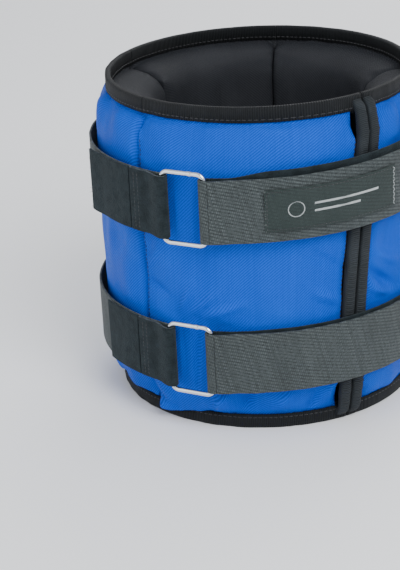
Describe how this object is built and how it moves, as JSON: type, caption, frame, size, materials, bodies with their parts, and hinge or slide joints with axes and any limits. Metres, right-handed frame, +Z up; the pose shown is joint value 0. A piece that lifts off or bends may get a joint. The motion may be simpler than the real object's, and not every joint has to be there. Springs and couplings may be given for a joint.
{
  "type": "ankle cuff weight",
  "caption": "Wrap-round ankle weight: filled fabric pockets sewn edge to edge in a ring, closed by straps that turn back through wire rings and fasten by hook and loop.",
  "frame": {"origin": "the middle of the footprint of the whole cuff, rings and tails included, in the plane it stands on; the leg opening's own axis is 1.6 mm towards -X and 2.3 mm towards +Y of it", "axes": "+Z up along the leg; -Y faces the front, where the rings and the closure are; +X towards the tails' free ends"},
  "size_m": [0.213, 0.2142, 0.2],
  "materials": {
    "blue_fabric": "satin",
    "lining_fabric": "matte",
    "fill_bag": "matte",
    "binding_tape": "matte",
    "woven_tape": "matte",
    "loop_tape": "matte",
    "hook_tape": "matte",
    "label_cloth": "matte",
    "chrome_wire": "polished"
  },
  "bodies": {
    "front": {"front_outer_panel": "blue_fabric", "front_lining": "lining_fabric", "front_weight_bag": "fill_bag", "front_bottom_binding": "binding_tape", "front_top_binding": "binding_tape", "front_end_binding": "binding_tape", "lower_keeper_loop": "loop_tape", "upper_keeper_loop": "loop_tape"},
    "left": {"left_outer_panel": "blue_fabric", "left_lining": "lining_fabric", "left_weight_bag": "fill_bag", "left_bottom_binding": "binding_tape", "left_top_binding": "binding_tape", "lower_strap_left": "woven_tape", "lower_keeper_end": "loop_tape", "upper_strap_left": "woven_tape", "upper_keeper_end": "loop_tape"},
    "back_left": {"back_left_outer_panel": "blue_fabric", "back_left_lining": "lining_fabric", "back_left_weight_bag": "fill_bag", "back_left_bottom_binding": "binding_tape", "back_left_top_binding": "binding_tape", "lower_strap_back_left": "woven_tape", "upper_strap_back_left": "woven_tape"},
    "back_right": {"back_right_outer_panel": "blue_fabric", "back_right_lining": "lining_fabric", "back_right_weight_bag": "fill_bag", "back_right_bottom_binding": "binding_tape", "back_right_top_binding": "binding_tape", "lower_strap_back_right": "woven_tape", "upper_strap_back_right": "woven_tape"},
    "right": {"right_outer_panel": "blue_fabric", "right_lining": "lining_fabric", "right_weight_bag": "fill_bag", "right_bottom_binding": "binding_tape", "right_top_binding": "binding_tape", "right_end_binding": "binding_tape", "lower_closing_strap": "loop_tape", "lower_strap_fold": "loop_tape", "upper_closing_strap": "loop_tape", "upper_strap_fold": "loop_tape"},
    "lower_ring": {"lower_ring": "chrome_wire"},
    "lower_tail": {"lower_tail": "woven_tape", "lower_hook_patch": "hook_tape"},
    "upper_ring": {"upper_ring": "chrome_wire"},
    "upper_tail": {"upper_tail": "woven_tape", "upper_hook_patch": "hook_tape", "label": "label_cloth"}
  },
  "joints": [
    {"name": "back_seam", "type": "hinge", "parent": "back_left", "child": "back_right", "pos_m": [0.01303, 0.10625, 0.1], "axis": [0, 0, 1], "range_deg": [0, 66], "deforming": ["lower_strap_fold", "upper_strap_fold"]},
    {"name": "right_seam", "type": "hinge", "parent": "back_right", "child": "right", "pos_m": [0.10149, 0.0223, 0.1], "axis": [0, 0, 1], "range_deg": [0, 66]},
    {"name": "left_seam", "type": "hinge", "parent": "back_left", "child": "left", "pos_m": [-0.09514, 0.04994, 0.1], "axis": [0, 0, -1], "range_deg": [0, 33]},
    {"name": "front_seam", "type": "hinge", "parent": "left", "child": "front", "pos_m": [-0.07848, -0.07199, 0.1], "axis": [0, 0, -1], "range_deg": [0, 33]},
    {"name": "lower_ring_swing", "type": "hinge", "parent": "front", "child": "lower_ring", "pos_m": [-0.05863, -0.08813, 0.049], "axis": [0, 0, -1], "range_deg": [0, 100]},
    {"name": "upper_ring_swing", "type": "hinge", "parent": "front", "child": "upper_ring", "pos_m": [-0.05863, -0.08813, 0.143], "axis": [0, 0, -1], "range_deg": [0, 100]},
    {"name": "lower_tail_peel", "type": "hinge", "parent": "right", "child": "lower_tail", "pos_m": [-0.03417, -0.09954, 0.049], "axis": [0, 0, -1], "range_deg": [0, 110]},
    {"name": "upper_tail_peel", "type": "hinge", "parent": "right", "child": "upper_tail", "pos_m": [-0.03417, -0.09954, 0.143], "axis": [0, 0, -1], "range_deg": [0, 110]}
  ],
  "couplings": [
    {"joint": "right_seam", "follows": "back_seam", "ratio": 1},
    {"joint": "left_seam", "follows": "back_seam", "ratio": 0.5},
    {"joint": "front_seam", "follows": "back_seam", "ratio": 0.5}
  ]
}
